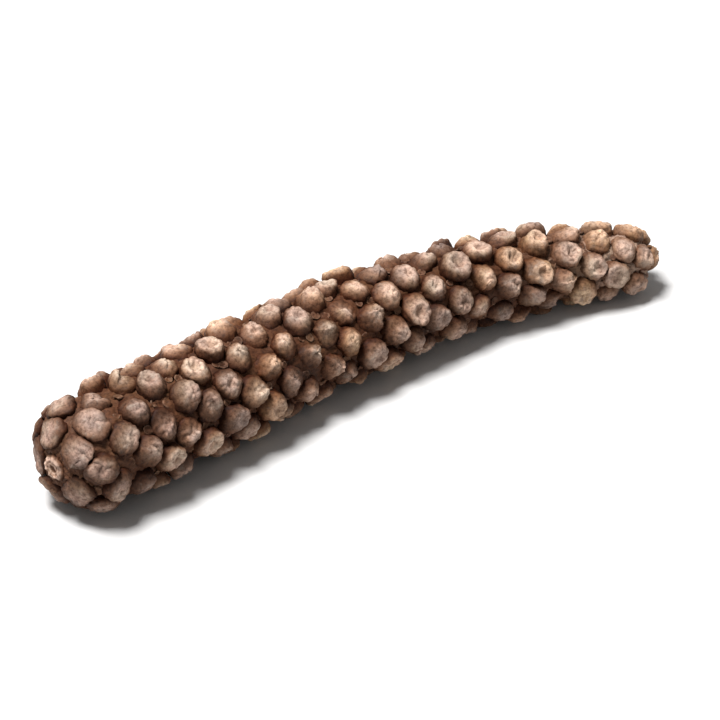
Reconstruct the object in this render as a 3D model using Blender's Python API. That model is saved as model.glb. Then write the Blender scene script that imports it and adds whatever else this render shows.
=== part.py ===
"""Long pepper, dried: one fruit spike, thick and blunt at the stalk end and rounded at the tip,
covered all over with small round berries that wind round it in slanting rows.

How it is made. The middle of the berry layer is a smooth surface of revolution. Berry centres are
set on it one by one, as they grow: each sits a fixed angle round from the last and a little
further along. Two rows then slant round the spike and cross seven and nine steeper ones. Each
rounded end has one berry at its pole with a ring round it. The centres push each other apart
until they are evenly spread. The places where three neighbours meet are the corners of a net
with one cell for each berry. Every cell is extruded in three steps and poked, which raises it
into a round knob with a small dimple. Last, the straight spike is bent along its axis and its
underside is pressed, so that it lies on three berries.
"""
import math
import random

import bmesh
import bpy
import numpy as np
from mathutils import Vector, geometry

FULL_TURN = 2.0 * math.pi

# Driving dimensions, in metres
SPIKE_LENGTH = 0.0412      # along the bent axis, between the middles of the two end berries
BASE_RADIUS = 0.00297      # to the middle of the berry layer, at the stalk end
TIP_RADIUS = 0.00170       # the same at the tip, before its rounding
TAPER_POWER = 2.2          # above one keeps the stalk half stout
BASE_ROUNDING = 0.0021     # length of the blunt rounded stalk end
TIP_ROUNDING = 0.0022      # length of the rounded tip
BASE_BLUNTNESS = 0.425     # half is an ellipse, less is blunter
TIP_BLUNTNESS = 0.475
GROOVE_DROP = 0.00038      # grooves below the middle of the layer
PRESS_DEPTH = 0.00024      # flattening of the berries that the spike lies on

# It lies on three berries round its weight. Each has its place under the finished spike and how
# far its pressed top is domed: the middle one is flat, the outer two touch with one point.
FEET = (((-0.0182, -0.0017), 0.00004), ((0.0019, 0.0019), 0.0), ((0.0172, 0.0006), 0.00004))
FOOT_RADIUS = 0.0009
CLEARANCE = 0.0001         # of all other berries on the underside above the surface

# How the berries are set
DIVERGENCE = 158.0         # degrees from each berry to the next one that grew
BERRY_SPACING = 0.00195    # between neighbours
TIP_SPACING = 0.00178      # the same at the tip
SHRINKING_FROM = 0.70      # share of the length
RING_BERRIES = 5           # berries in the ring round the one at each pole
RING_GAP = 0.93            # from the pole to that ring, in spacings
SPIRAL_GAP = 1.68          # from the pole to the spiral, in spacings
SPREADING_ROUNDS = 30
SPREADING_REACH = 1.5      # berries nearer than this many spacings push each other
SPREADING_RATE = 0.25
UNEVENNESS = 0.07          # random shift of a berry, in spacings

# One berry: each step up from the groove shrinks the cell, rounds it and lifts it
KNOB_STEPS = ((0.93, 0.40, -0.10), (0.84, 0.50, 0.48), (0.59, 0.60, 0.88))
BERRY_RISE = 0.24          # berry tops above the middle of the layer, in spacings
RISE_SPREAD = 0.20         # random share by which a berry is taller or lower
DIMPLE = (0.02, 0.16)      # least and greatest dimple, as shares of the rise
TIP_DIMPLE = (0.05, 0.30)  # added near the tip, where berries have sunk in
TIP_DIMPLE_FROM = 0.72     # share of the length
SCAR_DIMPLE = 0.45         # the one at the stalk end is the scar of the stalk
LOW_END = 0.10             # share of the length over which berries rise from the stalk end
LOW_END_RISE = 0.55        # rise at the very end, as a share of the full one
LEAN = 0.06                # random sideways lean of a berry, in spacings

# The bend, in degrees and shares of the length
FIRST_HEADING = 10.0       # so that the two ends lie along X
BEND_START = 0.42
BEND_ANGLE = 34.0
BEND_POWER = 1.5

SEED = 11


def body_radius(x):
    """Radius of the middle of the berry layer without the rounding of the ends."""
    share = np.clip(x / SPIKE_LENGTH, 0.0, 1.0)
    return BASE_RADIUS - (BASE_RADIUS - TIP_RADIUS) * share ** TAPER_POWER


def rounded_radius(x):
    """The same, closing to nothing at both poles."""
    near_base = np.clip(1.0 - x / BASE_ROUNDING, 0.0, 1.0)
    near_tip = np.clip(1.0 - (SPIKE_LENGTH - x) / TIP_ROUNDING, 0.0, 1.0)
    base_end = (1.0 - near_base ** 2) ** BASE_BLUNTNESS
    tip_end = (1.0 - near_tip ** 2) ** TIP_BLUNTNESS
    return body_radius(x) * base_end * tip_end


# Samples of the profile, closest together at the poles
AXIS = 0.5 * SPIKE_LENGTH * (1.0 - np.cos(np.linspace(0.0, math.pi, 4001)))
RADIUS = rounded_radius(AXIS)
STRIDE = np.hypot(np.diff(AXIS), np.diff(RADIUS))
ALONG = np.concatenate([[0.0], np.cumsum(STRIDE)])
END = ALONG[-1]
# In this measure a small circle on the surface stays a circle when the surface is unrolled
NARROWEST = 1e-6
UNROLLED = np.concatenate([[0.0], np.cumsum(STRIDE / np.maximum(RADIUS[1:], NARROWEST))])


def surface(along, angle):
    """Points of the smooth surface, at distances along it and angles round it."""
    x = np.interp(along, ALONG, AXIS)
    r = np.interp(along, ALONG, RADIUS)
    return np.stack([x, r * np.cos(angle), r * np.sin(angle)], axis=-1)


def directions(along, angle):
    """Unit steps along and round the surface, and the outward normal."""
    small = 2e-5
    ahead = surface(np.minimum(along + small, END), angle)
    ahead -= surface(np.maximum(along - small, 0.0), angle)
    ahead /= np.linalg.norm(ahead, axis=-1, keepdims=True)
    aside = np.stack([np.zeros_like(angle), -np.sin(angle), np.cos(angle)], axis=-1)
    return ahead, aside, np.cross(aside, ahead)


def spacing(along):
    """Distance between neighbouring berries."""
    share = np.interp(along, ALONG, AXIS) / SPIKE_LENGTH
    late = np.clip((share - SHRINKING_FROM) / (1.0 - SHRINKING_FROM), 0.0, 1.0)
    return BERRY_SPACING - (BERRY_SPACING - TIP_SPACING) * late


def first_places():
    """Pole, ring, spiral, ring and pole: where each berry is before they spread."""
    base_gap, tip_gap = spacing(np.array([0.0, END]))
    along, angle = [0.0], [0.0]
    for i in range(RING_BERRIES):
        along.append(RING_GAP * base_gap)
        angle.append(FULL_TURN * i / RING_BERRIES)
    place = np.interp(SPIRAL_GAP * base_gap, ALONG, UNROLLED)
    last = np.interp(END - SPIRAL_GAP * tip_gap, ALONG, UNROLLED)
    turned = 0.0
    even_cell = math.sqrt(0.75)     # area of a cell whose neighbours are one unit away
    while place < last:
        along.append(np.interp(place, UNROLLED, ALONG))
        angle.append(turned)
        girth = FULL_TURN * body_radius(np.interp(along[-1], ALONG, AXIS))
        place += FULL_TURN * even_cell * (spacing(along[-1]) / girth) ** 2
        turned += math.radians(DIVERGENCE)
    for i in range(RING_BERRIES):
        along.append(END - RING_GAP * tip_gap)
        angle.append(FULL_TURN * i / RING_BERRIES)
    return np.array(along + [END]), np.array(angle + [0.0])


def spread(along, angle):
    """Berries push their neighbours away along the surface. The two at the poles stay."""
    free = np.ones(len(along))
    free[[0, -1]] = 0.0
    for _ in range(SPREADING_ROUNDS):
        place, gap = surface(along, angle), spacing(along)
        apart = place[:, None] - place[None, :]
        distance = np.linalg.norm(apart, axis=-1) + np.eye(len(along))
        reach = 0.5 * SPREADING_REACH * (gap[:, None] + gap[None, :])
        push = np.clip(1.0 - distance / reach, 0.0, None) / distance
        np.fill_diagonal(push, 0.0)
        move = (apart * push[..., None]).sum(axis=1) * (SPREADING_RATE * gap * free)[:, None]
        ahead, aside, _ = directions(along, angle)
        girth_radius = np.maximum(np.interp(along, ALONG, RADIUS), 0.1 * TIP_RADIUS)
        along = np.clip(along + (move * ahead).sum(axis=-1), 0.0, END)
        angle = angle + (move * aside).sum(axis=-1) / girth_radius
    return along, angle


def berry_places():
    """Final places, each moved a little at random, because nature is never quite even."""
    along, angle = spread(*first_places())
    vary = random.Random(SEED)
    for i in range(1, len(along) - 1):
        shift = UNEVENNESS * float(spacing(along[i]))
        around = max(float(np.interp(along[i], ALONG, RADIUS)), 0.5 * TIP_RADIUS)
        along[i] += vary.uniform(-shift, shift)
        angle[i] += vary.uniform(-shift, shift) / around
    return along, angle


def unrolled_net(along, angle):
    """Triples of neighbours, found on the unrolled surface and closed at the poles."""
    poles = (0, len(along) - 1)
    place = np.interp(along, ALONG, UNROLLED)
    lowest, highest = place[1:-1].min(), place[1:-1].max()
    flat, source = [], []
    for turn in range(-2, 3):
        for i in range(1, len(along) - 1):
            flat.append(Vector((place[i], angle[i] % FULL_TURN + FULL_TURN * turn)))
            source.append(i)
        # Unrolled, each pole is a whole row of points, about one radian beyond the last berries
        pole_points = 14
        for j in range(pole_points):
            row = FULL_TURN * (turn + j / pole_points)
            flat.append(Vector((lowest - 1.0, row)))
            flat.append(Vector((highest + 1.0, row)))
            source.extend(poles)
    found = geometry.delaunay_2d_cdt(flat, [], [], 0, 1e-6)
    points, faces, origin = found[0], found[2], found[3]
    triples = set()
    for face in faces:
        middle = sum(points[v].y for v in face) / 3.0
        three = frozenset(source[origin[v][0]] for v in face)
        if -1.0 < middle < FULL_TURN + 1.0 and len(three) == 3:
            triples.add(three)
    return sorted(triples, key=sorted)


def corner_angle(places, corner, side):
    """Angle of a triangle at a corner, opposite to a side."""
    a, b = (places[end] - places[corner] for end in side)
    return math.acos(float(a @ b) / float(np.linalg.norm(a) * np.linalg.norm(b)))


def even_net(triples, places):
    """Where two triangles share a side that is too long, the other diagonal is taken."""
    changed = True
    while changed:
        changed = False
        owners = {}
        for index, three in enumerate(triples):
            for corner in three:
                owners.setdefault(three - {corner}, []).append((index, corner))
        used = set()
        for side, ((first, c), (second, d)) in owners.items():
            if first in used or second in used or frozenset((c, d)) in owners:
                continue
            if corner_angle(places, c, side) + corner_angle(places, d, side) > math.pi + 1e-6:
                a, b = side
                triples[first], triples[second] = frozenset((c, d, a)), frozenset((c, d, b))
                used.update((first, second))
                changed = True
    return triples


def groove_point(point):
    """The nearest point of the smooth surface, moved down to the bottom of a groove."""
    x, y, z = point
    nearest = int(np.argmin((AXIS - x) ** 2 + (RADIUS - math.hypot(y, z)) ** 2))
    along, angle = ALONG[[nearest]], np.array([math.atan2(z, y)])
    outward = directions(along, angle)[2]
    return (surface(along, angle) - GROOVE_DROP * outward)[0]


def grown_berries(along, angle):
    """What makes each berry its own: its place, its way up, and how it is raised."""
    vary = random.Random(SEED + 1)
    centres, outward = surface(along, angle), directions(along, angle)[2]
    outward[0] = (-1.0, 0.0, 0.0)
    outward[-1] = (1.0, 0.0, 0.0)
    berries = []
    for i, gap in enumerate(spacing(along)):
        share = centres[i][0] / SPIKE_LENGTH
        rise = BERRY_RISE * gap * vary.uniform(1.0 - RISE_SPREAD, 1.0 + RISE_SPREAD)
        rise *= LOW_END_RISE + (1.0 - LOW_END_RISE) * min(share / LOW_END, 1.0)
        dimple = vary.uniform(*DIMPLE)
        if share > TIP_DIMPLE_FROM:
            dimple += vary.uniform(*TIP_DIMPLE)
        lean = Vector([vary.uniform(-LEAN, LEAN) * gap for _ in range(3)])
        berries.append({"centre": Vector(centres[i]), "up": Vector(outward[i]).normalized(),
                        "rise": rise, "dimple": dimple, "lean": lean})
    berries[0]["dimple"] = SCAR_DIMPLE
    return berries


def cell_net(triples, places, berries):
    """A closed mesh in the grooves, with one face for each berry."""
    net = bmesh.new()
    owner = net.faces.layers.int.new("berry")
    corners = [net.verts.new(groove_point(places[list(three)].mean(axis=0))) for three in triples]
    for i, berry in enumerate(berries):
        side = berry["up"].orthogonal().normalized()
        other = berry["up"].cross(side)
        ring = [corner for corner, three in zip(corners, triples) if i in three]
        ring.sort(key=lambda v: math.atan2((v.co - berry["centre"]).dot(other),
                                           (v.co - berry["centre"]).dot(side)))
        net.faces.new(ring)[owner] = i
    return net, owner


def raise_berries(net, owner, berries):
    """Extrude every cell step by step into a knob, then poke its top for the dimple."""
    cells = net.faces[:]
    for shrink, roundness, height in KNOB_STEPS:
        cells = bmesh.ops.extrude_discrete_faces(net, faces=cells)["faces"]
        for cell in cells:
            berry = berries[cell[owner]]
            up, centre = berry["up"], berry["centre"]
            middle = cell.calc_center_median()
            middle -= up * (middle - centre).dot(up)
            spokes = [v.co - middle - up * (v.co - middle).dot(up) for v in cell.verts]
            mean = sum(s.length for s in spokes) / len(spokes)
            lift = up * berry["rise"] * height + berry["lean"] * max(height, 0.0)
            for corner, spoke in zip(cell.verts, spokes):
                size = spoke.length + (mean - spoke.length) * roundness
                corner.co = middle + lift + spoke.normalized() * size * shrink
    for top in bmesh.ops.poke(net, faces=cells)["verts"]:
        berry = berries[top.link_faces[0][owner]]
        top.co += berry["up"] * berry["rise"] * (1.0 - KNOB_STEPS[-1][2] - berry["dimple"])


def pressed_floor(x, y, raised):
    """Height that every point is pressed up to: lowest under the three feet."""
    floor = raised.min() + PRESS_DEPTH
    pressed = np.full(len(raised), floor + CLEARANCE)
    for (foot_x, foot_y), dome in FEET:
        away = np.hypot(x - foot_x, y - foot_y)
        foot = away < FOOT_RADIUS
        pressed[foot] = floor + dome
        touching = np.flatnonzero(foot & (raised < floor))
        pressed[touching[np.argmin(away[touching])]] = floor
    return pressed, floor


def bend_and_settle(net):
    """Bend the axis, lay the underside along the floor, press it level and centre the spike."""
    points = np.array([v.co for v in net.verts])
    margin = BERRY_RISE * BASE_RADIUS
    samples = np.linspace(-margin, SPIKE_LENGTH + margin, 900)
    bent_share = np.clip((samples / SPIKE_LENGTH - BEND_START) / (1.0 - BEND_START), 0.0, 1.0)
    heading = np.radians(FIRST_HEADING - BEND_ANGLE * bent_share ** BEND_POWER)
    stride = samples[1] - samples[0]
    x, y, z = points.T
    turn = np.interp(x, samples, heading)
    bent_x = np.interp(x, samples, np.cumsum(np.cos(heading)) * stride) - y * np.sin(turn)
    bent_y = np.interp(x, samples, np.cumsum(np.sin(heading)) * stride) + y * np.cos(turn)
    raised = z + body_radius(x) + BERRY_RISE * spacing(np.interp(x, AXIS, ALONG))
    bent_x -= 0.5 * (bent_x.min() + bent_x.max())
    bent_y -= 0.5 * (bent_y.min() + bent_y.max())
    pressed, floor = pressed_floor(bent_x, bent_y, raised)
    level = np.maximum(raised, pressed) - floor
    for vert, place in zip(net.verts, zip(bent_x, bent_y, level)):
        vert.co = place


def skin_material():
    """Dry tan-brown skin."""
    material = bpy.data.materials.new("berry_skin")
    material.use_nodes = True
    shader = next(n for n in material.node_tree.nodes if n.type == "BSDF_PRINCIPLED")
    shader.inputs["Base Color"].default_value = (0.27, 0.17, 0.10, 1.0)
    shader.inputs["Roughness"].default_value = 0.6
    shader.inputs["Metallic"].default_value = 0.0
    return material


def fruit_spike():
    """The whole pepper as one closed body."""
    along, angle = berry_places()
    places = surface(along, angle)
    triples = even_net(unrolled_net(along, angle), places)
    berries = grown_berries(along, angle)
    net, owner = cell_net(triples, places, berries)
    raise_berries(net, owner, berries)
    bend_and_settle(net)
    bmesh.ops.triangulate(net, faces=net.faces[:])
    mesh = bpy.data.meshes.new("fruit_spike")
    net.to_mesh(mesh)
    net.free()
    mesh.materials.append(skin_material())
    mesh.shade_smooth()
    mesh.set_sharp_from_angle(angle=math.radians(60.0))
    spike = bpy.data.objects.new("fruit_spike", mesh)
    bpy.context.scene.collection.objects.link(spike)
    print("berries", len(berries), "triangles", len(mesh.polygons))


def main():
    for thing in list(bpy.data.objects):
        bpy.data.objects.remove(thing, do_unlink=True)
    fruit_spike()


main()
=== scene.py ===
# %% [markdown]
# # A dried long pepper
# A long pepper is the fruiting spike of a vine, picked and dried whole. Some two hundred small
# berries sit close together round a thin stem, in one spiral that starts at the blunt stalk end.
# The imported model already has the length, the bend and every berry as a plain knob. This lesson
# keeps those places and heights and makes each berry anew, with its pit, folds and dry skin.

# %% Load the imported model
import math
import random

import bmesh
import bpy
import numpy as np
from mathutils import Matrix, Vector


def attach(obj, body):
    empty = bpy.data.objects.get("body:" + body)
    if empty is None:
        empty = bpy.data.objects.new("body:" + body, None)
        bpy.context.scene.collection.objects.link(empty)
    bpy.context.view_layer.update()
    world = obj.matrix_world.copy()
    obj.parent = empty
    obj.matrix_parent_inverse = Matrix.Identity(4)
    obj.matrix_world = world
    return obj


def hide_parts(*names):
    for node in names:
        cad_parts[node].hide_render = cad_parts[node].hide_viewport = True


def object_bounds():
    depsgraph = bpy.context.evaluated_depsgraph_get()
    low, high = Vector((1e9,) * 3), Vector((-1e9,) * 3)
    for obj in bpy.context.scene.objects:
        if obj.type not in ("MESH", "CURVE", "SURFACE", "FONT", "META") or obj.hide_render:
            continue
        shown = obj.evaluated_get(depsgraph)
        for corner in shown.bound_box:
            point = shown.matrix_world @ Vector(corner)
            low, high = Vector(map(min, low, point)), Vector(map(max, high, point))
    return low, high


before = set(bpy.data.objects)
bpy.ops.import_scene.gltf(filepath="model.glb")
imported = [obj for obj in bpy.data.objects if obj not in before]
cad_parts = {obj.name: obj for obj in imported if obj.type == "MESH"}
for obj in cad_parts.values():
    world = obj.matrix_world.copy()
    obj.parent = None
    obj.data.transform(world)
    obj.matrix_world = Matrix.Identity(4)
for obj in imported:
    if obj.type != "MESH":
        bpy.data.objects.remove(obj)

CAD_LOW, CAD_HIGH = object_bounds()
print("model box, mm:", [round(1000.0 * side, 2) for side in CAD_HIGH - CAD_LOW])

# %% [markdown]
# ## The form under the berries
# Before it bends, the spike is a body of revolution: stout at the stalk end, slimmer at the tip
# and rounded at both ends. It could be drawn by hand, but two formulas say it exactly, and they
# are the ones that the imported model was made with, so that every berry meets its knob.

# %% Length, girth and rounded ends, in metres
FULL_TURN = 2.0 * math.pi
SPIKE_LENGTH = 0.0412
BASE_RADIUS, TIP_RADIUS, TAPER_POWER = 0.00297, 0.00170, 2.2
BASE_ROUNDING, TIP_ROUNDING = 0.0021, 0.0022
BASE_BLUNTNESS, TIP_BLUNTNESS = 0.425, 0.475


def body_radius(x):
    """Radius of the middle of the berry layer without the rounding of the ends."""
    share = np.clip(x / SPIKE_LENGTH, 0.0, 1.0)
    return BASE_RADIUS - (BASE_RADIUS - TIP_RADIUS) * share ** TAPER_POWER


def rounded_radius(x):
    """The same, closing to nothing at both poles."""
    near_base = np.clip(1.0 - x / BASE_ROUNDING, 0.0, 1.0)
    near_tip = np.clip(1.0 - (SPIKE_LENGTH - x) / TIP_ROUNDING, 0.0, 1.0)
    base_end = (1.0 - near_base ** 2) ** BASE_BLUNTNESS
    return body_radius(x) * base_end * (1.0 - near_tip ** 2) ** TIP_BLUNTNESS


AXIS_POINTS = 4001
LEAST_RADIUS = 1e-6     # keeps the unrolling finite at the poles
AXIS = 0.5 * SPIKE_LENGTH * (1.0 - np.cos(np.linspace(0.0, math.pi, AXIS_POINTS)))
RADIUS = rounded_radius(AXIS)
STRIDE = np.hypot(np.diff(AXIS), np.diff(RADIUS))
# The way over the surface from the stalk pole, in metres and then in radii of each place
ALONG = np.concatenate([[0.0], np.cumsum(STRIDE)])
END = ALONG[-1]
UNROLLED = np.concatenate([[0.0], np.cumsum(STRIDE / np.maximum(RADIUS[1:], LEAST_RADIUS))])
print("from pole to pole over the surface, mm:", round(1000.0 * END, 2))


# %% Points and directions on that form
STEP = 2e-5     # a direction is read over this far each way, in metres


def surface(along, angle):
    """Points of the smooth form, at distances along it and angles round it."""
    x = np.interp(along, ALONG, AXIS)
    r = np.interp(along, ALONG, RADIUS)
    return np.stack([x, r * np.cos(angle), r * np.sin(angle)], axis=-1)


def directions(along, angle):
    """Unit steps along and round the form, and the outward normal."""
    ahead = surface(np.minimum(along + STEP, END), angle)
    ahead -= surface(np.maximum(along - STEP, 0.0), angle)
    ahead /= np.linalg.norm(ahead, axis=-1, keepdims=True)
    aside = np.stack([np.zeros_like(angle), -np.sin(angle), np.cos(angle)], axis=-1)
    return ahead, aside, np.cross(aside, ahead)


print("radius half way, mm:", round(1000.0 * float(np.interp(0.5 * END, ALONG, RADIUS)), 2))

# %% [markdown]
# ## Where the berries sit
# On the real spike each new berry grows in the widest gap that the last ones leave. It comes a
# fixed angle round from the last and a little further along, and the eye then joins the berries
# into rows that slant round the spike. Here they are set one by one in the same way, from pole
# to pole. Then they push each other apart, as they do when they swell, and a seeded random shift
# takes the evenness away.

# %% One berry after another, with a ring of five round each pole
DIVERGENCE = math.radians(158.0)
BERRY_SPACING, TIP_SPACING, SHRINKING_FROM = 0.00195, 0.00178, 0.70
RING_BERRIES, RING_GAP, SPIRAL_GAP = 5, 0.93, 1.68     # gaps from the pole, in distances
ROW_HEIGHT = math.sqrt(0.75)     # of rows that nestle as in a honeycomb, in distances


def spacing(along):
    """Distance between neighbouring berries, a little less toward the tip."""
    share = np.interp(along, ALONG, AXIS) / SPIKE_LENGTH
    late = np.clip((share - SHRINKING_FROM) / (1.0 - SHRINKING_FROM), 0.0, 1.0)
    return BERRY_SPACING - (BERRY_SPACING - TIP_SPACING) * late


def first_places():
    """Pole, ring, spiral, ring and pole."""
    base_gap, tip_gap = spacing(np.array([0.0, END]))
    ring = [FULL_TURN * i / RING_BERRIES for i in range(RING_BERRIES)]
    along, angle = [0.0] + [RING_GAP * base_gap] * RING_BERRIES, [0.0] + ring
    place = np.interp(SPIRAL_GAP * base_gap, ALONG, UNROLLED)
    last = np.interp(END - SPIRAL_GAP * tip_gap, ALONG, UNROLLED)
    turned = 0.0
    while place < last:
        along.append(np.interp(place, UNROLLED, ALONG))
        angle.append(turned)
        girth = FULL_TURN * body_radius(np.interp(along[-1], ALONG, AXIS))
        place += FULL_TURN * ROW_HEIGHT * (spacing(along[-1]) / girth) ** 2
        turned += DIVERGENCE
    along += [END - RING_GAP * tip_gap] * RING_BERRIES + [END]
    return np.array(along), np.array(angle + ring + [0.0])


along, angle = first_places()
print("berries on the spiral and round the poles:", len(along))

# %% Berries push each other apart, and none sits quite even
SPREADING_ROUNDS, SPREADING_REACH, SPREADING_RATE = 30, 1.5, 0.25
UNEVENNESS = 0.07     # largest random shift of a berry, in distances between berries
LEAST_PUSH_RADIUS, LEAST_SHIFT_RADIUS = 0.1 * TIP_RADIUS, 0.5 * TIP_RADIUS     # near the poles
SEED = 11


def spread(along, angle):
    """Berries push their neighbours away along the surface. The two at the poles stay."""
    free = np.ones(len(along))
    free[[0, -1]] = 0.0
    for _ in range(SPREADING_ROUNDS):
        place, gap = surface(along, angle), spacing(along)
        apart = place[:, None] - place[None, :]
        distance = np.linalg.norm(apart, axis=-1) + np.eye(len(along))
        reach = 0.5 * SPREADING_REACH * (gap[:, None] + gap[None, :])
        push = np.clip(1.0 - distance / reach, 0.0, None) / distance
        np.fill_diagonal(push, 0.0)
        move = (apart * push[..., None]).sum(axis=1) * (SPREADING_RATE * gap * free)[:, None]
        ahead, aside, _ = directions(along, angle)
        girth_radius = np.maximum(np.interp(along, ALONG, RADIUS), LEAST_PUSH_RADIUS)
        along = np.clip(along + (move * ahead).sum(axis=-1), 0.0, END)
        angle = angle + (move * aside).sum(axis=-1) / girth_radius
    return along, angle


along, angle = spread(along, angle)
vary = random.Random(SEED)
for i in range(1, len(along) - 1):
    shift = UNEVENNESS * float(spacing(along[i]))
    around = max(float(np.interp(along[i], ALONG, RADIUS)), LEAST_SHIFT_RADIUS)
    along[i] += vary.uniform(-shift, shift)
    angle[i] += vary.uniform(-shift, shift) / around
PLACE = surface(along, angle)
AHEAD, ASIDE, UP = directions(along, angle)
AHEAD[[0, -1]], ASIDE[[0, -1]] = (0.0, 1.0, 0.0), (0.0, 0.0, 1.0)
UP[0], UP[-1] = (-1.0, 0.0, 0.0), (1.0, 0.0, 0.0)
GAP = spacing(along)
SHARE = PLACE[:, 0] / SPIKE_LENGTH
print("distance between berries, mm:", round(1000.0 * GAP.max(), 2), "to",
      round(1000.0 * GAP.min(), 2))

# %% How high each berry stands and how it leans
BERRY_RISE, RISE_SPREAD = 0.24, 0.20     # rise in distances between berries, and its spread
DIMPLE, TIP_DIMPLE, TIP_DIMPLE_FROM = (0.02, 0.16), (0.05, 0.30), 0.72
LOW_END, LOW_END_RISE, LEAN = 0.10, 0.55, 0.06     # lower berries on the first tenth, and lean
RISE, LEANING = np.zeros(len(GAP)), np.zeros((len(GAP), 3))
vary = random.Random(SEED + 1)
for i, gap in enumerate(GAP):
    RISE[i] = BERRY_RISE * gap * vary.uniform(1.0 - RISE_SPREAD, 1.0 + RISE_SPREAD)
    RISE[i] *= LOW_END_RISE + (1.0 - LOW_END_RISE) * min(SHARE[i] / LOW_END, 1.0)
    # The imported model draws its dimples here. The shapes below bring their own, so these draws
    # aren't kept, but without them the leanings that follow would differ from that model's.
    vary.uniform(*DIMPLE)
    if SHARE[i] > TIP_DIMPLE_FROM:
        vary.uniform(*TIP_DIMPLE)
    LEANING[i] = [vary.uniform(-LEAN, LEAN) * gap for _ in range(3)]
print("berry tops above the form, mm:", round(1000.0 * RISE.min(), 2), "to",
      round(1000.0 * RISE.max(), 2))

# %% [markdown]
# ## One berry blank
# A dried berry is a dome on a narrower foot, packed so tightly that only the dome shows. A blank
# for it is raised out of a circle, as a potter raises a bowl: the circle is extruded ring by ring
# and resized at each one. A rim or a hollow is then only another ring, it comes out round, and
# the blank has only a few dozen faces.


# %% Helpers for working as by hand
def deselect_everything():
    """Operators act on all that is selected, so every step starts from nothing."""
    if bpy.context.object and bpy.context.object.mode != "OBJECT":
        bpy.ops.object.mode_set(mode="OBJECT")
    bpy.ops.object.select_all(action="DESELECT")


def open_for_editing(piece):
    """Edit mode on one piece, with nothing selected in it."""
    deselect_everything()
    bpy.context.view_layer.objects.active = piece
    piece.select_set(True)
    bpy.ops.object.mode_set(mode="EDIT")
    bpy.ops.mesh.select_mode(type="FACE")
    bpy.ops.mesh.select_all(action="DESELECT")


def select_faces(piece, wanted):
    """Selects the faces whose middle and normal pass the test, and no others."""
    bpy.ops.mesh.select_all(action="DESELECT")
    net = bmesh.from_edit_mesh(piece.data)
    for face in net.faces:
        if wanted(face.calc_center_median(), face.normal):
            face.select_set(True)
    bmesh.update_edit_mesh(piece.data)


def close_editing():
    """Back to object mode."""
    bpy.ops.object.mode_set(mode="OBJECT")


def apply_modifier(piece, kind, **settings):
    """Adds one modifier, sets it and applies it."""
    deselect_everything()
    bpy.context.view_layer.objects.active = piece
    piece.select_set(True)
    modifier = piece.modifiers.new(kind.lower(), kind)
    for setting, value in settings.items():
        setattr(modifier, setting, value)
    bpy.ops.object.modifier_apply(modifier=modifier.name)


def points_of(piece):
    """All points of a piece, as rows."""
    flat = np.empty(3 * len(piece.data.vertices))
    piece.data.vertices.foreach_get("co", flat)
    return flat.reshape(-1, 3)


# %% A blank raised ring by ring
BERRY_SIDES = 10
SMOOTHING = 2     # levels of subdivision on everything but the small bracts


def raised(name, sides, rings):
    """A closed form through rings of radius and height, extruded out of a circle."""
    (radius, height), rest = rings[0], rings[1:]
    deselect_everything()
    bpy.ops.mesh.primitive_circle_add(vertices=sides, radius=radius, fill_type="NGON",
                                      location=(0.0, 0.0, height))
    blank = bpy.context.object
    blank.name = name
    bpy.ops.object.transform_apply(location=True, rotation=True, scale=True)
    bpy.ops.object.mode_set(mode="EDIT")
    bpy.ops.mesh.select_all(action="SELECT")
    for next_radius, next_height in rest:
        bpy.ops.mesh.extrude_region_move(
            TRANSFORM_OT_translate={"value": (0.0, 0.0, next_height - height)})
        bpy.ops.transform.resize(value=(next_radius / radius, next_radius / radius, 1.0),
                                 center_override=(0.0, 0.0, next_height))
        radius, height = next_radius, next_height
    bpy.ops.mesh.select_all(action="SELECT")
    bpy.ops.mesh.normals_make_consistent(inside=False)
    close_editing()
    return blank


def true_size(shape):
    """Width and height of a shape once subdivision has smoothed it."""
    trial = shape.copy()
    trial.data = shape.data.copy()
    bpy.context.scene.collection.objects.link(trial)
    apply_modifier(trial, "SUBSURF", levels=SMOOTHING, render_levels=SMOOTHING)
    points = points_of(trial)
    bpy.data.objects.remove(trial, do_unlink=True)
    return np.hypot(points[:, 0], points[:, 1]).max(), points[:, 2].max()


def fit_to_unit(shape):
    """Scales a shape so that its smoothed form is one unit in radius and one high."""
    radius, height = true_size(shape)
    deselect_everything()
    bpy.context.view_layer.objects.active = shape
    shape.select_set(True)
    shape.scale = (1.0 / radius, 1.0 / radius, 1.0 / height)
    bpy.ops.object.transform_apply(location=False, rotation=False, scale=True)
    print(shape.name, "has", len(shape.data.polygons), "faces")
    return shape


# %% [markdown]
# ## Five kinds of berry
# Many berries are plump domes with a small point where the stigma was. Others have dried into a
# cup with a round rim, collapsed on one side or creased, and those round the stalk end are low.
# All five are raised with the same number of rings and sides, so any two can be blended point by
# point. No two berries on the spike are then the same, though only five were made.


# %% The plump berry
# Radius and height of every ring, with one for the full width and height
PLUMP_RINGS = ((0.84, -0.35), (1.00, 0.00), (0.87, 0.41), (0.57, 0.75), (0.26, 0.96), (0.08, 0.92))


def plump_berry():
    """A full dome with a small sunken point on top."""
    return fit_to_unit(raised("plump_berry", BERRY_SIDES, PLUMP_RINGS))


# %% The cupped berry
CUPPED_RINGS = ((0.84, -0.35), (1.00, 0.05), (0.90, 0.45), (0.68, 0.81), (0.45, 0.93), (0.16, 0.64))


def cupped_berry():
    """The top has sunk in and left a round rim."""
    return fit_to_unit(raised("cupped_berry", BERRY_SIDES, CUPPED_RINGS))


# %% The folded berry
# Faces above the first number and beyond the second are moved by the last three
FALLEN_ABOVE, FALLEN_BEYOND, FALL = 0.6, 0.1, (-0.14, 0.0, -0.30)
CREST_ABOVE, CREST_BEHIND, CREST_LIFT = 0.5, -0.3, (0.06, 0.0, 0.10)


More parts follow.
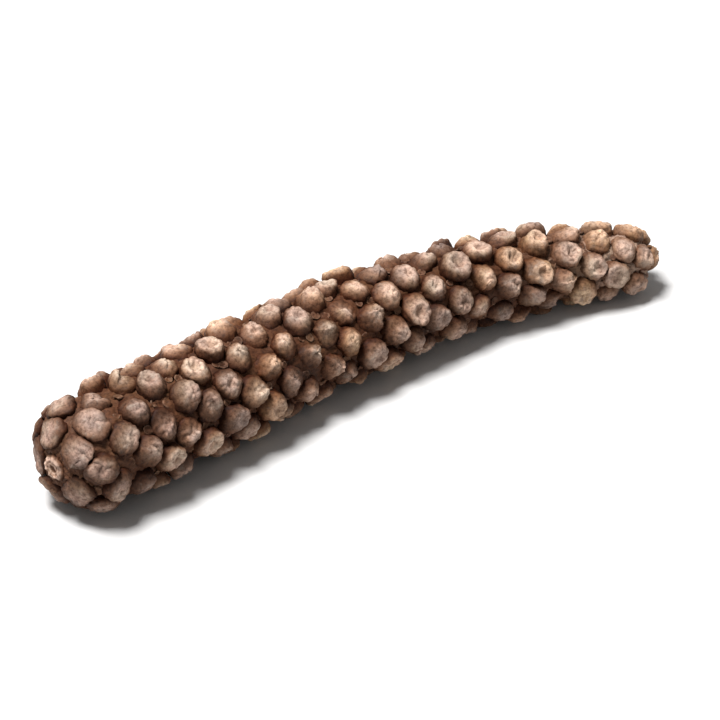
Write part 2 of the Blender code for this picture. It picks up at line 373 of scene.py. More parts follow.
def folded_berry():
    """One side has collapsed and left a crest beside a hollow."""
    berry = raised("folded_berry", BERRY_SIDES, PLUMP_RINGS)
    open_for_editing(berry)
    select_faces(berry, lambda middle, normal: middle.z > FALLEN_ABOVE
                 and middle.x > FALLEN_BEYOND)
    bpy.ops.transform.translate(value=FALL)
    select_faces(berry, lambda middle, normal: middle.z > CREST_ABOVE
                 and middle.x < CREST_BEHIND)
    bpy.ops.transform.translate(value=CREST_LIFT)
    close_editing()
    return fit_to_unit(berry)


# %% The creased berry
CREASES = (15.0, 140.0, 235.0)      # degrees round the berry
CREASE_ABOVE, CREASE_NARROWNESS = 0.2, 0.95
CREASE_IN, CREASE_DOWN = 0.20, 0.14


def creased_berry():
    """Furrows run down from the top, with full lobes between them."""
    berry = raised("creased_berry", BERRY_SIDES, PLUMP_RINGS)
    open_for_editing(berry)
    for way in CREASES:
        x, y = math.cos(math.radians(way)), math.sin(math.radians(way))
        select_faces(berry, lambda middle, normal: middle.z > CREASE_ABOVE and middle.x * x
                     + middle.y * y > CREASE_NARROWNESS * math.hypot(middle.x, middle.y))
        bpy.ops.transform.translate(value=(-CREASE_IN * x, -CREASE_IN * y, -CREASE_DOWN))
    close_editing()
    return fit_to_unit(berry)


# %% The low berry of the stalk end
LOW_RINGS = ((0.95, -0.35), (1.00, 0.05), (0.86, 0.50), (0.52, 0.76), (0.22, 0.84), (0.10, 0.70))
TOP_ABOVE, TOP_SHIFT = 0.6, (0.16, 0.0, 0.0)
TOP_STRETCH, TOP_HEIGHT = (1.3, 0.85, 1.0), 0.7


def low_berry():
    """A wide flat dome, longer one way, with its small pit off the middle."""
    berry = raised("low_berry", BERRY_SIDES, LOW_RINGS)
    open_for_editing(berry)
    select_faces(berry, lambda middle, normal: middle.z > TOP_ABOVE)
    bpy.ops.transform.translate(value=TOP_SHIFT)
    bpy.ops.transform.resize(value=TOP_STRETCH, center_override=(0.0, 0.0, TOP_HEIGHT))
    close_editing()
    return fit_to_unit(berry)


# %% Make all five
SHAPES = {"plump": plump_berry(), "cupped": cupped_berry(), "folded": folded_berry(),
          "creased": creased_berry(), "low": low_berry()}

# %% [markdown]
# ## Each berry finds its room
# Berries that grow side by side flatten where they touch, like peas in a jar. A simulation could
# press them together, but a plain rule does it faster: between two neighbours stands an unseen
# wall, halfway from one to the other. Each copy is scaled to its place and leaned a little, and
# what would pass a wall is drawn back to it. The domes stay round above the walls, and the stem
# shows in the gaps beside small berries and where three berries meet.

# %% Walls between neighbours
ROOT = 0.24            # widest part of a berry below the form, in distances between berries
END_ROOT = 0.35        # share of that depth at the stalk end, where the berries are low
SWELL = 1.12           # width of a berry before its neighbours squeeze it, as a share of ROOM
END_SWELL = 0.45       # more of it at the stalk end, which closes the gaps there
SOFT_FROM = 0.86       # share of the way to a wall where the squeeze begins
TOUCH = 1.0            # as near as a berry comes to the wall
NEIGHBOUR_REACH = 1.7  # in distances between berries
TIPWARD, SIDEWAYS = 0.05, 0.15  # set and random lean of a top, in distances between berries
NEAREST = 5            # neighbours whose mean distance is the room of a berry
LOWNESS = 1.0 - np.clip(SHARE / LOW_END, 0.0, 1.0)
DEPTH = ROOT * GAP * (1.0 - (1.0 - END_ROOT) * LOWNESS)
APART = np.sort(np.linalg.norm(PLACE[:, None] - PLACE[None, :], axis=-1), axis=1)
ROOM = APART[:, 1:NEAREST + 1].mean(axis=1)
print("mean distance to the nearest five, mm:", round(1000.0 * ROOM.min(), 2), "to",
      round(1000.0 * ROOM.max(), 2))

# %% The squeeze
LEAST_ROOM, LEAST_CROWDING = 1e-5, 1e-6     # metres, and a share of the way to a wall


def walls_round(i):
    """A point and a unit normal for the wall toward each neighbour."""
    away = np.linalg.norm(PLACE - PLACE[i], axis=1)
    near = np.flatnonzero((away > 0.0) & (away < NEIGHBOUR_REACH * GAP[i]))
    mean_up = UP[near] + UP[i]
    mean_up /= np.linalg.norm(mean_up, axis=1, keepdims=True)
    toward = PLACE[near] - PLACE[i]
    toward -= (toward * mean_up).sum(axis=1, keepdims=True) * mean_up
    toward /= np.linalg.norm(toward, axis=1, keepdims=True)
    return 0.5 * (PLACE[near] + PLACE[i]), toward


def squeezed(points, i):
    """Points of berry i drawn back from its walls, and how near each one is to a wall."""
    middles, toward = walls_round(i)
    spine = PLACE[i] + ((points - PLACE[i]) @ UP[i])[:, None] * UP[i]
    out = points - spine
    room = np.maximum((middles * toward).sum(axis=1) - spine @ toward.T, LEAST_ROOM)
    crowding = np.maximum((out @ toward.T / room).max(axis=1), LEAST_CROWDING)
    soft = TOUCH - SOFT_FROM
    eased = SOFT_FROM + soft * np.tanh((crowding - SOFT_FROM) / soft)
    eased = np.where(crowding > SOFT_FROM, eased, crowding)
    return spine + out * (eased / crowding)[:, None], eased


# %% What every point keeps for the skin
# The painted shade of the gaps is lighter at both ends, where they are shallow, by place along the
# length
PALE_AT, PALENESS = (0.0, LOW_END, 0.76, 0.92), (0.15, 0.0, 0.0, 0.50)
PALE = np.interp(SHARE, PALE_AT, PALENESS)
# The berries themselves are lighter in the middle than at the stalk end
TONE_AT, TONE_SHIFT = (0.05, 0.30, 0.50, 0.70, 0.90), (-0.30, 0.12, 0.38, 0.05, 0.20)
PALE_TONE = 0.4     # how much a pale gap also lightens its berries
TONE = PALE_TONE * PALE + np.interp(SHARE, TONE_AT, TONE_SHIFT)
print("change of tone along the spike:", round(TONE.min(), 2), "to", round(TONE.max(), 2))


def keep_values(mesh, **values):
    """Keeps a number from 0 to 1 at every point of a mesh, for its material to read."""
    for name, value in values.items():
        layer = mesh.attributes.new(name, "FLOAT", "POINT")
        every = np.broadcast_to(value, len(mesh.vertices))
        layer.data.foreach_set("value", np.clip(every, 0.0, 1.0).astype(np.float32))


# %% One berry in its place
LOW_END_SAMENESS = 0.6     # how much less the tones differ at the stalk end
OWN_HEIGHT = 0.4           # share of its own height in the painted shade and highlight of a point, beside a plump berry's


def grown_berry(i, kinds, turn, width):
    """A blend of two shapes, turned, scaled to its place, leaned and squeezed."""
    mesh = SHAPES[kinds[0]].data.copy()
    share = choose.random()
    local = (1.0 - share) * points_of(SHAPES[kinds[0]]) + share * points_of(SHAPES[kinds[1]])
    c, s = math.cos(turn), math.sin(turn)
    x, y, z = local[:, 0] * c - local[:, 1] * s, local[:, 0] * s + local[:, 1] * c, local[:, 2]
    half = 0.5 * ROOM[i] * (SWELL + END_SWELL * LOWNESS[i]) * width
    height = z * (RISE[i] + DEPTH[i]) - DEPTH[i]
    points = PLACE[i] + half * (x[:, None] * AHEAD[i] + y[:, None] * ASIDE[i])
    tipward = TIPWARD + choose.uniform(-SIDEWAYS, SIDEWAYS)
    sideways = choose.uniform(-SIDEWAYS, SIDEWAYS)
    lean = LEANING[i] + GAP[i] * (tipward * AHEAD[i] + sideways * ASIDE[i])
    points += height[:, None] * UP[i] + np.maximum(z, 0.0)[:, None] * lean
    points, crowding = squeezed(points, i)
    mesh.vertices.foreach_set("co", points.ravel())
    mesh.flip_normals()     # the three directions mirror the shape, so its faces are turned back
    tone = choose.random() * (1.0 - LOW_END_SAMENESS * LOWNESS[i]) + TONE[i]
    # Painted shade low on each berry and a painted highlight on its top follow this height
    painted_light_height = OWN_HEIGHT * z + (1.0 - OWN_HEIGHT) * points_of(SHAPES["plump"])[:, 2]
    keep_values(mesh, height=painted_light_height + PALE[i] * (1.0 - painted_light_height), tone=tone,
                crowding=crowding * (1.0 - PALE[i]))
    berry = bpy.data.objects.new("berry", mesh)
    bpy.context.scene.collection.objects.link(berry)
    return berry


# %% Which shapes go where
KINDS = ("plump", "cupped", "folded", "creased")
ODDS = {"base": (3, 2, 2, 3), "middle": (5, 3, 2, 3), "tip": (2, 5, 2, 3)}
WIDTHS = (0.82, 1.12)     # narrowest and widest, as shares of a common berry


def kinds_of(i):
    """Two shapes to blend: low ones at the stalk end, mostly cupped ones near the tip."""
    region = "base" if SHARE[i] < LOW_END else "tip" if SHARE[i] > TIP_DIMPLE_FROM else "middle"
    kinds = choose.choices(KINDS, ODDS[region], k=2)
    return ["low", kinds[1]] if region == "base" else kinds


def joined(name, members):
    """One piece from many."""
    deselect_everything()
    bpy.context.view_layer.objects.active = members[0]
    for member in members:
        member.select_set(True)
    bpy.ops.object.join()
    piece = bpy.context.object
    piece.name = name
    piece.data.name = name
    return piece


# %% All berries, joined in three pieces
choose = random.Random(SEED + 2)
REGIONS = {"base_berries": (0.0, 0.30), "middle_berries": (0.30, 0.62), "tip_berries": (0.62, 1.1)}
regions = {name: [] for name in REGIONS}
for i in range(1, len(GAP)):
    berry = grown_berry(i, kinds_of(i), choose.uniform(0.0, FULL_TURN), choose.uniform(*WIDTHS))
    home = next(name for name, (low, high) in REGIONS.items() if low <= SHARE[i] < high)
    regions[home].append(berry)
pieces = {name: joined(name, members) for name, members in regions.items()}
for shape in SHAPES.values():
    bpy.data.objects.remove(shape, do_unlink=True)
for name, piece in pieces.items():
    print(name, "faces:", len(piece.data.polygons))

# %% [markdown]
# ## The bracts between the berries
# Under each flower stood a bract, a round scale on a short stalk. On the dried spike the bracts
# are still there as small pale shields, sunk in the gaps where three berries meet. Each could be
# set by hand, but the gaps can be found from the places of the berries. One bract is raised out
# of a circle, with a stalk and a turned-up edge, and a copy goes into the widest gap on the stalk
# side of each berry.

# %% The widest gap beside a berry
GAP_REACH = 0.577     # from a berry to where it meets two others, in distances between berries
GAP_WAYS = np.radians(np.linspace(110.0, 250.0, 29))     # round a berry, on its stalk side


def gap_beside(i):
    """The place on the stalk side of berry i that is farthest from all other berries."""
    others = np.delete(PLACE, i, axis=0)
    spots = PLACE[i] + GAP_REACH * GAP[i] * (np.cos(GAP_WAYS)[:, None] * AHEAD[i]
                                             + np.sin(GAP_WAYS)[:, None] * ASIDE[i])
    nearest = np.linalg.norm(spots[:, None] - others[None], axis=2).min(axis=1)
    return spots[nearest.argmax()], nearest.max()


print("room in the gap beside the tenth berry, mm:", round(1000.0 * gap_beside(10)[1], 2))

# %% One bract
BRACT_RINGS = ((0.25, -0.80), (0.30, -0.30), (0.95, -0.06), (0.90, 0.10), (0.45, 0.02))
BRACT_SIDES = 8
BRACT_RADIUS = 0.165           # in distances between berries
BRACT_LEVEL = (-0.13, -0.06)   # its middle above the form, in distances between berries
BRACT_TILT, BRACT_SIZES = 0.25, (0.8, 1.2)
NARROW_GAP = 0.5               # room that a bract needs, in distances between berries
# The bract reads the painted shade scale of the skin: dark as a gap in its middle, lighter toward
# its turned-up rim
BRACT_SHADE, BRACT_RIM_SHADE, BRACT_TONES = 0.35, 0.35, (0.3, 0.7)
UNSQUEEZED = 0.5               # the crowding of a piece that no neighbour presses


def bract(shape, i):
    """One bract in its gap, a little tilted and of its own size, or None if the gap is narrow."""
    spot, room = gap_beside(i)
    if room < NARROW_GAP * GAP[i]:
        return None
    angle_there = math.atan2(spot[2], spot[1])
    along_there = float(np.interp(spot[0], AXIS, ALONG))
    ahead, aside, up = (way[0] for way in directions(np.array([along_there]),
                                                     np.array([angle_there])))
    up = up + choose.uniform(-BRACT_TILT, BRACT_TILT) * ahead
    up = up + choose.uniform(-BRACT_TILT, BRACT_TILT) * aside
    up /= np.linalg.norm(up)
    ahead = np.cross(aside, up)
    ahead /= np.linalg.norm(ahead)
    aside = np.cross(up, ahead)
    mesh = shape.data.copy()
    x, y, z = points_of(shape).T * BRACT_RADIUS * GAP[i] * choose.uniform(*BRACT_SIZES)
    middle = surface(np.array([along_there]), np.array([angle_there]))[0]
    middle = middle + choose.uniform(*BRACT_LEVEL) * GAP[i] * up
    points = middle + x[:, None] * ahead + y[:, None] * aside + z[:, None] * up
    mesh.vertices.foreach_set("co", points.ravel())
    rim = np.hypot(x, y) / np.hypot(x, y).max()
    # Painted shade of a gap on the bract, lighter toward its rim
    keep_values(mesh, height=BRACT_SHADE + BRACT_RIM_SHADE * rim,
                tone=choose.uniform(*BRACT_TONES), crowding=UNSQUEEZED)
    made = bpy.data.objects.new("bract", mesh)
    bpy.context.scene.collection.objects.link(made)
    return made


# %% A bract in every gap that is wide enough
bract_shape = raised("bract_shape", BRACT_SIDES, BRACT_RINGS)
bracts = [bract(bract_shape, i) for i in range(RING_BERRIES + 1, len(GAP) - RING_BERRIES - 1)]
bracts = [one for one in bracts if one]
bract_count = len(bracts)
pieces["bracts"] = joined("bracts", bracts)
bpy.data.objects.remove(bract_shape, do_unlink=True)
print("bracts:", bract_count, "faces:", len(pieces["bracts"].data.polygons))

# %% [markdown]
# ## Dry skin
# As a berry dries, its skin is too large for it and wrinkles. Bump in the material could fake
# that, but it fails at the outline. So each region is smoothed by subdivision, and two
# displacements then press into the surface itself: broad dents, no two berries alike, and fine
# furrows. They are shapes, so they catch the light from every side.

# %% Smooth, dent and wrinkle
DENT_SIZE, DENT_DEPTH = 0.0010, 0.00016
WRINKLE_SIZE, WRINKLE_DEPTH = 0.00040, 0.00009
DENT_LEVEL, WRINKLE_LEVEL = 0.5, 0.6     # grey of each pattern that leaves the surface in place
BRACT_SMOOTHING = 1
dents = bpy.data.textures.new("dents", "CLOUDS")
dents.noise_scale = DENT_SIZE
wrinkles = bpy.data.textures.new("wrinkles", "MUSGRAVE")
wrinkles.musgrave_type = "RIDGED_MULTIFRACTAL"
wrinkles.noise_scale = WRINKLE_SIZE


def pressed(piece, texture, depth, level):
    """Moves the surface in or out by a pattern, as far as depth says."""
    apply_modifier(piece, "DISPLACE", texture=texture, texture_coords="LOCAL", strength=depth,
                   mid_level=level)


for piece in pieces.values():
    levels = BRACT_SMOOTHING if piece.name == "bracts" else SMOOTHING
    apply_modifier(piece, "SUBSURF", levels=levels, render_levels=levels)
    pressed(piece, dents, -DENT_DEPTH, DENT_LEVEL)
    pressed(piece, wrinkles, -WRINKLE_DEPTH, WRINKLE_LEVEL)
    print(piece.name, "faces:", len(piece.data.polygons))

# %% [markdown]
# ## The stem between the berries
# The berries are grown into the stem, and its dark brown flesh shows at the bottom of the gaps,
# coloured as the painted shade of a gap.
# A curve with a round bevel could make it, but the stem has to keep a set depth below the
# berries. So it is drawn out of a circle: extruded station by station along the spike and resized
# at each one. Then it gets dents and deep wrinkles, as flesh that has shrunk.

# %% The stem
STEM_SIDES, STEM_STATIONS = 40, 46
STEM_DEPTH = 0.13     # below the form, in distances between berries
END_STEM = 0.15       # share of that depth at the stalk end
STEM_SHADE = 0.38     # the height on a berry whose colour it takes, the painted shade of the gaps
STEM_TONE = 0.55
STEM_WRINKLE_DEPTH = 0.00016
POLE_ANGLE = 0.06     # keeps the first and the last station off the poles


def stem_core():
    """A closed tube that follows the form a little way under it."""
    turns = np.linspace(POLE_ANGLE, math.pi - POLE_ANGLE, STEM_STATIONS)
    stations = END * 0.5 * (1.0 - np.cos(turns))
    straight = np.zeros_like(stations)
    inner = surface(stations, straight)
    lowness = 1.0 - np.clip(inner[:, 0] / (LOW_END * SPIKE_LENGTH), 0.0, 1.0)
    depth = STEM_DEPTH * spacing(stations) * (1.0 - (1.0 - END_STEM) * lowness)
    inner -= directions(stations, straight)[2] * depth[:, None]
    core = raised("stem_core", STEM_SIDES, [(point[1], point[0]) for point in inner])
    core.rotation_euler = (0.0, 0.5 * math.pi, 0.0)
    deselect_everything()
    core.select_set(True)
    bpy.ops.object.transform_apply(location=True, rotation=True, scale=True)
    pale = np.interp(points_of(core)[:, 0] / SPIKE_LENGTH, PALE_AT, PALENESS)
    keep_values(core.data, height=STEM_SHADE + pale, tone=STEM_TONE, crowding=UNSQUEEZED)
    apply_modifier(core, "SUBSURF", levels=SMOOTHING, render_levels=SMOOTHING)
    pressed(core, dents, DENT_DEPTH, DENT_LEVEL)
    pressed(core, wrinkles, STEM_WRINKLE_DEPTH, WRINKLE_LEVEL)
    print("stem_core faces:", len(core.data.polygons))
    return core


pieces["stem_core"] = stem_core()

# %% [markdown]
# ## The scar of the stalk
# The stalk has come away and left a round scar at the thick end, with a torn rim and a hollow
# of dry fibres. It takes the place of the first berry. It could be sculpted, but a short cone
# whose top face is inset again and again gives the rings of fibre at once, and a small random
# shift of every point tears them.

# %% The scar
SCAR_SIDES = 20
SCAR_FOOT, SCAR_TOP = 0.50, 0.30   # radii, in distances between berries
SCAR_RISE = 0.75                   # as a share of the rise of a berry there
# Each ring is inset by the first number and moved inward by the second
SCAR_RINGS = ((0.04, -0.03), (0.05, 0.05), (0.06, -0.03), (0.07, 0.07))
TORN = 0.012                       # farthest shift of a point, in distances between berries
TOP_FACING = -0.9                  # the top face looks out of the stalk end
# Painted shade of the scar: the height its outer face reads, and how much darker it gets deeper in
SCAR_SHADE, SCAR_PAINTED_SHADE, SCAR_TONE = 0.95, 1.2, 0.7


def stalk_scar():
    """A low stump with a torn rim, a ring of fibres and a sunken middle, in painted shade deeper
    in.
    """
    top = -SCAR_RISE * RISE[0]
    depth = DEPTH[0] - top
    deselect_everything()
    bpy.ops.mesh.primitive_cone_add(vertices=SCAR_SIDES, radius1=SCAR_FOOT * GAP[0],
                                    radius2=SCAR_TOP * GAP[0], depth=depth,
                                    location=(top + 0.5 * depth, 0.0, 0.0),
                                    rotation=(0.0, -0.5 * math.pi, 0.0))
    scar = bpy.context.object
    scar.name = "stalk_scar"
    bpy.ops.object.transform_apply(location=True, rotation=True, scale=True)
    open_for_editing(scar)
    select_faces(scar, lambda middle, normal: normal.x < TOP_FACING)
    for inset, sink in SCAR_RINGS:
        bpy.ops.mesh.inset(thickness=inset * GAP[0])
        bpy.ops.transform.translate(value=(sink * GAP[0], 0.0, 0.0))
    bpy.ops.mesh.select_all(action="SELECT")
    bpy.ops.transform.vertex_random(offset=TORN * GAP[0], seed=SEED)
    close_editing()
    # Painted shade: the deeper a point lies in the scar, the darker it is
    inward = (points_of(scar)[:, 0] - top) / depth
    keep_values(scar.data, height=SCAR_SHADE - SCAR_PAINTED_SHADE * inward, tone=SCAR_TONE,
                crowding=UNSQUEEZED)
    apply_modifier(scar, "SUBSURF", levels=SMOOTHING, render_levels=SMOOTHING)
    pressed(scar, wrinkles, WRINKLE_DEPTH, WRINKLE_LEVEL)
    print("stalk_scar faces:", len(scar.data.polygons))
    return scar


pieces["stalk_scar"] = stalk_scar()

# %% [markdown]
# ## Bend it and lay it down
# A long pepper is seldom straight. Everything so far was made on a straight axis. A Curve
# modifier could bend it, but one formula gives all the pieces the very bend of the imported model.
# The spike then sinks to the height of that model. It lies on three low berries round its
# weight, and every other berry on the underside is pressed to just above the surface.

# %% One bend for every piece
FIRST_HEADING, BEND_START, BEND_ANGLE, BEND_POWER = 10.0, 0.42, 34.0, 1.5
MARGIN, BEND_SAMPLES = BERRY_RISE * BASE_RADIUS, 900
samples = np.linspace(-MARGIN, SPIKE_LENGTH + MARGIN, BEND_SAMPLES)
bent_share = np.clip((samples / SPIKE_LENGTH - BEND_START) / (1.0 - BEND_START), 0.0, 1.0)
heading = np.radians(FIRST_HEADING - BEND_ANGLE * bent_share ** BEND_POWER)
stride = samples[1] - samples[0]
line_x, line_y = np.cumsum(np.cos(heading)) * stride, np.cumsum(np.sin(heading)) * stride


def bent(points):
    """Points of the straight spike carried along the bent axis, before it is laid down."""
    x, y, z = points.T
    turn = np.interp(x, samples, heading)
    lifted = z + body_radius(x) + BERRY_RISE * spacing(np.interp(x, AXIS, ALONG))
    return np.stack([np.interp(x, samples, line_x) - y * np.sin(turn),
                     np.interp(x, samples, line_y) + y * np.cos(turn), lifted], axis=-1)


print("the axis turns, degrees:", round(math.degrees(heading[0] - heading[-1]), 1))

# %% Laid down on three berries
FEET = ((-0.0182, -0.0017), (0.0019, 0.0019), (0.0172, 0.0006))     # across the surface, in metres
FOOT_RADIUS, CLEARANCE = 0.0009, 0.0001
SOFT_PRESS = 0.00014    # height over which the pressing fades out

bent_points = {name: bent(points_of(piece)) for name, piece in pieces.items()}
everything = np.concatenate(list(bent_points.values()))
low, high = everything.min(axis=0), everything.max(axis=0)
shift = 0.5 * (np.array(CAD_LOW) + np.array(CAD_HIGH)) - 0.5 * (low + high)
shift[2] = CAD_HIGH.z - high[2]
for name, piece in pieces.items():
    settled = bent_points[name] + shift
    away = [np.hypot(settled[:, 0] - x, settled[:, 1] - y) for x, y in FEET]
    lowest = CAD_LOW.z + np.where(np.min(away, axis=0) < FOOT_RADIUS, 0.0, CLEARANCE)
    over = (settled[:, 2] - lowest) / SOFT_PRESS
    eased = np.where(over < 1.0, np.exp(np.minimum(over, 1.0) - 1.0), over)
    settled[:, 2] = lowest + SOFT_PRESS * eased
    piece.data.vertices.foreach_set("co", settled.ravel())
    piece.data.update()
    piece.data.shade_smooth()
print("underside pressed level by, mm:", round(1000.0 * (CAD_LOW.z - low[2] - shift[2]), 2))

# %% [markdown]
# ## The skin's colour
# The skin runs from painted shade, near black in the gaps, through its own red-brown to a painted
# highlight of pale tan on the tops, and dust, which also serves as a painted highlight, has settled
# on the tops. Painted shade also darkens each berry where it touches the next. It could be painted
# by hand, berry by berry. Here the height of each point on its berry is kept in the mesh instead,
# and the colour reads it, so it follows every berry. Each berry also has a tone of its own, and
# three sizes of noise add patches, dust and specks.

# %% Small helpers for materials
def ramp(tree, source, stops):
    """A colour ramp through stops of place and colour."""
    made = tree.nodes.new("ShaderNodeValToRGB")
    elements = made.color_ramp.elements
    while len(elements) < len(stops):
        elements.new(0.5)
    for element, (place, colour) in zip(elements, stops):
        element.position = place
        element.color = (*colour, 1.0)
    tree.links.new(source, made.inputs["Fac"])
    return made.outputs["Color"]


def mixed(tree, blend, amount, first, second):
    """Mixes two colours. The amount is a number or a socket."""
    made = tree.nodes.new("ShaderNodeMix")
    made.data_type = "RGBA"
    made.blend_type = blend
    for socket, value in ((made.inputs[0], amount), (made.inputs[6], first),
                          (made.inputs[7], second)):
        if isinstance(value, bpy.types.NodeSocket):
            tree.links.new(value, socket)
        elif isinstance(value, tuple):
            socket.default_value = (*value, 1.0)
        else:
            socket.default_value = value
    return made.outputs[2]


def noise_value(tree, coordinates, size, detail, roughness):
    """Noise whose patches are about size metres across."""
    made = tree.nodes.new("ShaderNodeTexNoise")
    made.inputs["Scale"].default_value = 1.0 / size
    made.inputs["Detail"].default_value = detail
    made.inputs["Roughness"].default_value = roughness
    tree.links.new(coordinates, made.inputs["Vector"])
    return made.outputs["Fac"]


def attribute(tree, name):
    """A number that the mesh keeps at every point."""
    made = tree.nodes.new("ShaderNodeAttribute")
    made.attribute_name = name
    return made.outputs["Fac"]


# %% Sizes and colours of the skin
# Metres across, detail and roughness of each noise
PATCHES, DUST_AND_HIGHLIGHT_SPOTS, GRAIN = (0.0018, 2.0, 0.55), (0.0007, 5.0, 0.75), (0.00020, 5.0, 0.70)
BLACK, WHITE = (0.0, 0.0, 0.0), (1.0, 1.0, 1.0)
# Painted shade from near black in the gaps, through the skin's red-brown, to a painted highlight of
# pale tan on the tops
SKIN_LIGHT_AND_SHADE_RAMP = ((0.0, (0.038, 0.011, 0.004)), (0.35, (0.055, 0.022, 0.010)),
             (0.65, (0.108, 0.060, 0.038)), (0.82, (0.190, 0.126, 0.092)),
             (1.0, (0.375, 0.298, 0.258)))
TONE_RAMP = ((0.0, (0.70, 0.65, 0.63)), (0.45, (0.98, 0.96, 0.94)),
             (0.80, (1.20, 1.16, 1.10)), (1.0, (1.30, 1.22, 1.02)))
PATCH_RAMP = ((0.32, (0.66, 0.62, 0.62)), (0.50, (1.06, 0.94, 0.88)), (0.66, (1.12, 1.12, 1.04)))
SPECK_RAMP = ((0.36, (0.45, 0.38, 0.34)), (0.50, (0.95, 0.93, 0.92)), (0.62, (1.30, 1.28, 1.25)))
SPECK_AMOUNT = 0.9
# Pale dust on the tops, which also serves as a painted highlight
DUST_AND_HIGHLIGHT_RAMP, DUST_AND_HIGHLIGHT_COLOUR = ((0.52, BLACK), (0.68, (0.55, 0.55, 0.55))), (0.36, 0.29, 0.24)
EXPOSED_RAMP = ((0.55, BLACK), (0.95, WHITE))          # heights on which dust, also a painted highlight, lies
SEAM_SHADE_RAMP = ((0.80, WHITE), (0.98, (0.58, 0.46, 0.40)))   # painted shade where berries touch
ROUGHNESS, SPECULAR = (0.48, 0.76), 0.12
BUMP_STRENGTH, BUMP_DEPTH = 0.8, 0.00006
print("lightest skin:", SKIN_LIGHT_AND_SHADE_RAMP[-1][1], "darkest:", SKIN_LIGHT_AND_SHADE_RAMP[0][1])


# %% Berry skin
def berry_skin():
    """Dry satin skin: red-brown, with a painted highlight and dust on the tops, and painted shade
    dark in the gaps and where berries touch.
    """
    material = bpy.data.materials.new("berry_skin_dry")
    material.use_nodes = True
    tree = material.node_tree
    shader = next(n for n in tree.nodes if n.type == "BSDF_PRINCIPLED")
    coordinates = tree.nodes.new("ShaderNodeTexCoord").outputs["Object"]
    height, grain = attribute(tree, "height"), noise_value(tree, coordinates, *GRAIN)
    # Painted shade in the gaps and a painted highlight on the tops, read from the height of each
    # point
    skin = ramp(tree, height, SKIN_LIGHT_AND_SHADE_RAMP)
    skin = mixed(tree, "MULTIPLY", 1.0, skin, ramp(tree, attribute(tree, "tone"), TONE_RAMP))
    patches = ramp(tree, noise_value(tree, coordinates, *PATCHES), PATCH_RAMP)
    skin = mixed(tree, "MULTIPLY", 1.0, skin, patches)
    skin = mixed(tree, "MULTIPLY", SPECK_AMOUNT, skin, ramp(tree, grain, SPECK_RAMP))
    # Dust on the tops, also a painted highlight
    dust_and_highlight = ramp(tree, noise_value(tree, coordinates, *DUST_AND_HIGHLIGHT_SPOTS), DUST_AND_HIGHLIGHT_RAMP)
    dust_and_highlight = mixed(tree, "MULTIPLY", 1.0, dust_and_highlight, ramp(tree, height, EXPOSED_RAMP))
    skin = mixed(tree, "MIX", dust_and_highlight, skin, DUST_AND_HIGHLIGHT_COLOUR)
    # Painted shade where one berry touches the next
    seam_shade = ramp(tree, attribute(tree, "crowding"), SEAM_SHADE_RAMP)
    skin = mixed(tree, "MULTIPLY", 1.0, skin, seam_shade)
    tree.links.new(skin, shader.inputs["Base Color"])
    rough = tree.nodes.new("ShaderNodeMapRange")
    rough.inputs["To Min"].default_value, rough.inputs["To Max"].default_value = ROUGHNESS
    tree.links.new(grain, rough.inputs["Value"])
    tree.links.new(rough.outputs["Result"], shader.inputs["Roughness"])
    shader.inputs["Specular IOR Level"].default_value = SPECULAR
    bump = tree.nodes.new("ShaderNodeBump")
    bump.inputs["Strength"].default_value = BUMP_STRENGTH
    bump.inputs["Distance"].default_value = BUMP_DEPTH
    tree.links.new(grain, bump.inputs["Height"])
    tree.links.new(bump.outputs["Normal"], shader.inputs["Normal"])
    return material


# %% The same skin on every piece
SKIN = berry_skin()
for name, piece in pieces.items():
    piece.data.materials.clear()
    piece.data.materials.append(SKIN)
    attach(piece, "root")
    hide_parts("fruit_spike")
print("pieces finished:", sorted(pieces))

# %% [markdown]
# ## Floor, light and camera
# The spike lies on a plain pale floor. One soft lamp hangs above it, a little to the left,
# so that every berry has a light and a dark side, and an even white sky fills the shadows. More
# lamps would flatten the berries. The camera looks down from the side through a long lens, and
# its place is worked out from the finished spike, so that the spike sits in the middle.

# %% Floor
FLOOR_WIDTH, FLOOR_DROP = 1.6, 0.00002
FLOOR_COLOUR, FLOOR_ROUGHNESS = (0.52, 0.515, 0.51, 1.0), 0.9
deselect_everything()
bpy.ops.mesh.primitive_plane_add(size=FLOOR_WIDTH, location=(0.0, 0.0, -FLOOR_DROP))
floor = bpy.context.object
floor.name = "floor"
bpy.ops.object.transform_apply(location=True, rotation=True, scale=True)
paper = bpy.data.materials.new("pale_paper")
paper.use_nodes = True
paper_shader = next(n for n in paper.node_tree.nodes if n.type == "BSDF_PRINCIPLED")
paper_shader.inputs["Base Color"].default_value = FLOOR_COLOUR
paper_shader.inputs["Roughness"].default_value = FLOOR_ROUGHNESS
floor.data.materials.append(paper)
print("floor, m:", FLOOR_WIDTH)

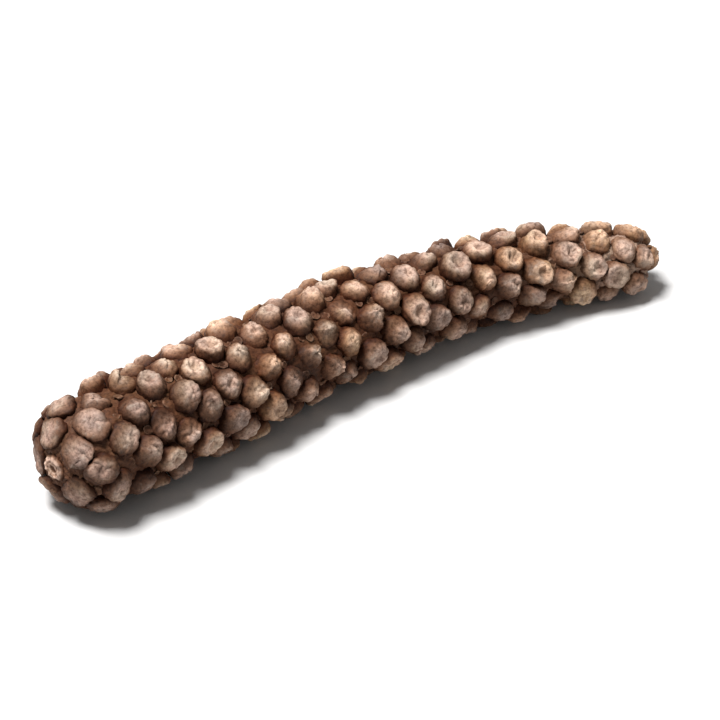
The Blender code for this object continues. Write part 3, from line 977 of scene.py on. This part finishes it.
# %% Soft light
SKY_COLOUR, SKY_STRENGTH = (1.0, 0.99, 0.98, 1.0), 0.32
LAMP_PLACE, LAMP_WIDTH, LAMP_POWER = (-0.10, 0.03, 0.34), 0.14, 2.9
world = bpy.context.scene.world or bpy.data.worlds.new("sky")
bpy.context.scene.world = world
world.use_nodes = True
sky = next(n for n in world.node_tree.nodes if n.type == "BACKGROUND")
sky.inputs["Color"].default_value = SKY_COLOUR
sky.inputs["Strength"].default_value = SKY_STRENGTH
lamp_data = bpy.data.lights.new("overhead", "AREA")
lamp_data.shape = "DISK"
lamp_data.size = LAMP_WIDTH
lamp_data.energy = LAMP_POWER
lamp = bpy.data.objects.new("overhead", lamp_data)
bpy.context.scene.collection.objects.link(lamp)
lamp.location = LAMP_PLACE
lamp.rotation_euler = (-lamp.location).to_track_quat("-Z", "Y").to_euler()
bpy.context.scene.view_settings.view_transform = "Standard"
print("lamp from the spike, m:", round(lamp.location.length, 3))

# %% Camera
VIEW_AZIMUTH, VIEW_ELEVATION = math.radians(-33.0), math.radians(33.0)
FRAME_WIDTH = 0.0405            # what the frame takes in at the spike, in metres
LENS = 180.0
CLIP_START, CLIP_END = 0.01, 10.0
back = Vector((math.sin(VIEW_AZIMUTH) * math.cos(VIEW_ELEVATION),
               -math.cos(VIEW_AZIMUTH) * math.cos(VIEW_ELEVATION), math.sin(VIEW_ELEVATION)))
right = Vector((math.cos(VIEW_AZIMUTH), math.sin(VIEW_AZIMUTH), 0.0))
above = back.cross(right)
shown = np.concatenate([points_of(piece) for piece in pieces.values()])
target = Vector()
for across in (right, above):
    reach = shown @ np.array(across)
    target += across * (0.5 * (reach.min() + reach.max()))
camera_data = bpy.data.cameras.new("camera")
camera_data.lens = LENS
camera = bpy.data.objects.new("camera", camera_data)
bpy.context.scene.collection.objects.link(camera)
camera.location = target + back * (FRAME_WIDTH * LENS / camera_data.sensor_width)
camera.rotation_euler = (-back).to_track_quat("-Z", "Y").to_euler()
camera_data.clip_start, camera_data.clip_end = CLIP_START, CLIP_END
bpy.context.scene.camera = camera
print("camera from the spike, m:", round((camera.location - target).length, 3))
